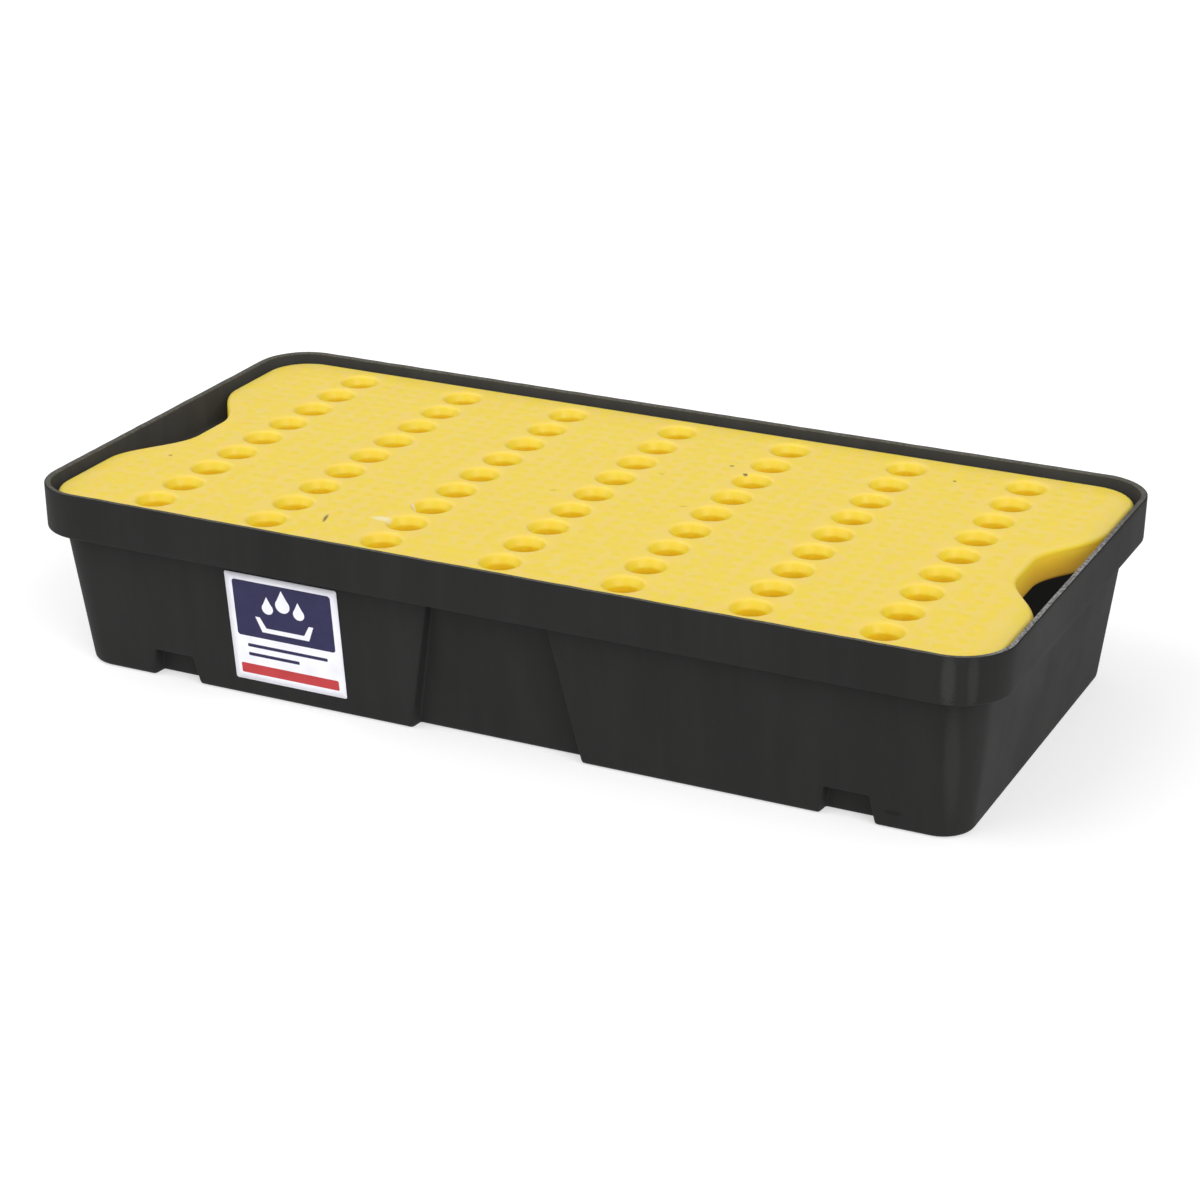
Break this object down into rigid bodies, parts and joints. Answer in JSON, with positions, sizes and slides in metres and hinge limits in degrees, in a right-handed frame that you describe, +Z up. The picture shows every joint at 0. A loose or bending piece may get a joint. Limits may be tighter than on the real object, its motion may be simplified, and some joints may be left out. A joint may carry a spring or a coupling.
{
  "type": "spill containment pallet",
  "caption": "Low spill tray with a band rim and a lift-out perforated deck, with drain holes in rows and hand bays at both ends, that catches leaks from drums and cans.",
  "frame": {"origin": "centre of the footprint, on the floor under the tray", "axes": "+X along the length, -Y out of the long side that carries the label, +Z up"},
  "size_m": [0.805, 0.405, 0.155],
  "materials": {
    "black_polyethylene": "smooth moulded polyethylene, matte, with a paler rough cut edge along the top of the rim",
    "yellow_polyethylene": "satin moulded polyethylene with rows of low anti-slip pips, deeper amber inside the drain holes",
    "label_vinyl": "white printed vinyl with a navy panel that holds a plain white pictogram, two thin navy lines and a red strip"
  },
  "bodies": {
    "tray": {"sump_tray": "black_polyethylene", "label": "label_vinyl"},
    "deck": {"drain_deck": "yellow_polyethylene"}
  },
  "joints": [
    {"name": "deck_lift", "type": "slide", "parent": "tray", "child": "deck", "axis": [0, 0, 1], "range_m": [0, 0.12]}
  ]
}
